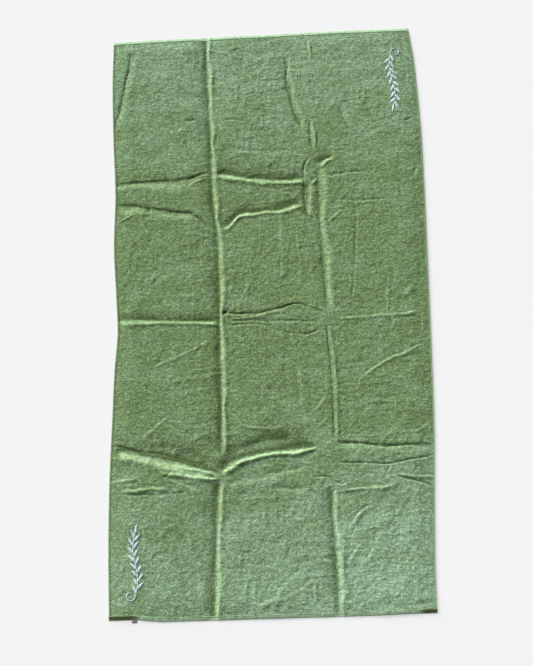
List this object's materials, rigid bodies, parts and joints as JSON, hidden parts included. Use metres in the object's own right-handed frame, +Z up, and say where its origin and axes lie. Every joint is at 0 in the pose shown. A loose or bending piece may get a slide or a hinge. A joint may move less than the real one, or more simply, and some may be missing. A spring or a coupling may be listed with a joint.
{
  "type": "quick dry towel",
  "caption": "Flat terry bath towel with sewn hems, overlocked side edges, sprig embroidery in two corners and a small care label; it folds in thirds.",
  "frame": {"origin": "under the middle of the cloth, on the surface that the towel lies on", "axes": "+Y along the towel's length, towards the end away from the label; +X across its width, towards the right-hand side; +Z up, out of the face with the embroidery"},
  "size_m": [0.7, 1.4065, 0.0059],
  "materials": {
    "terry": "matte terry pile, sage green",
    "hem": "flattened terry, turned and sewn",
    "selvedge": "plain weave, no pile",
    "sewing_thread": "spun polyester thread, matched green",
    "overlock_thread": "soft textured thread, paler green",
    "embroidery_thread": "glossy rayon thread, cool white",
    "care_label": "woven satin tape, grey"
  },
  "bodies": {
    "centre": {"terry_centre": "terry", "hem_top_centre": "hem", "hem_bottom_centre": "hem", "hem_seam_top_centre": "sewing_thread", "hem_seam_bottom_centre": "sewing_thread"},
    "left": {"terry_left": "terry", "hem_top_left": "hem", "hem_bottom_left": "hem", "hem_seam_top_left": "sewing_thread", "hem_seam_bottom_left": "sewing_thread", "selvedge_left": "selvedge", "overlock_left": "overlock_thread", "embroidery_lower": "embroidery_thread", "label_tack": "sewing_thread"},
    "right": {"terry_right": "terry", "hem_top_right": "hem", "hem_bottom_right": "hem", "hem_seam_top_right": "sewing_thread", "hem_seam_bottom_right": "sewing_thread", "selvedge_right": "selvedge", "overlock_right": "overlock_thread", "embroidery_upper": "embroidery_thread"},
    "label": {"care_label": "care_label"}
  },
  "joints": [
    {"name": "left_fold", "type": "hinge", "parent": "centre", "child": "left", "pos_m": [-0.11667, 0, 0.0105], "axis": [0, 1, 0], "range_deg": [0, 180]},
    {"name": "right_fold", "type": "hinge", "parent": "centre", "child": "right", "pos_m": [0.11667, 0, 0.0165], "axis": [0, -1, 0], "range_deg": [0, 180]},
    {"name": "label_flap", "type": "hinge", "parent": "left", "child": "label", "pos_m": [-0.304, -0.7003, 0.0011], "axis": [-1, 0, 0], "range_deg": [0, 85]}
  ]
}
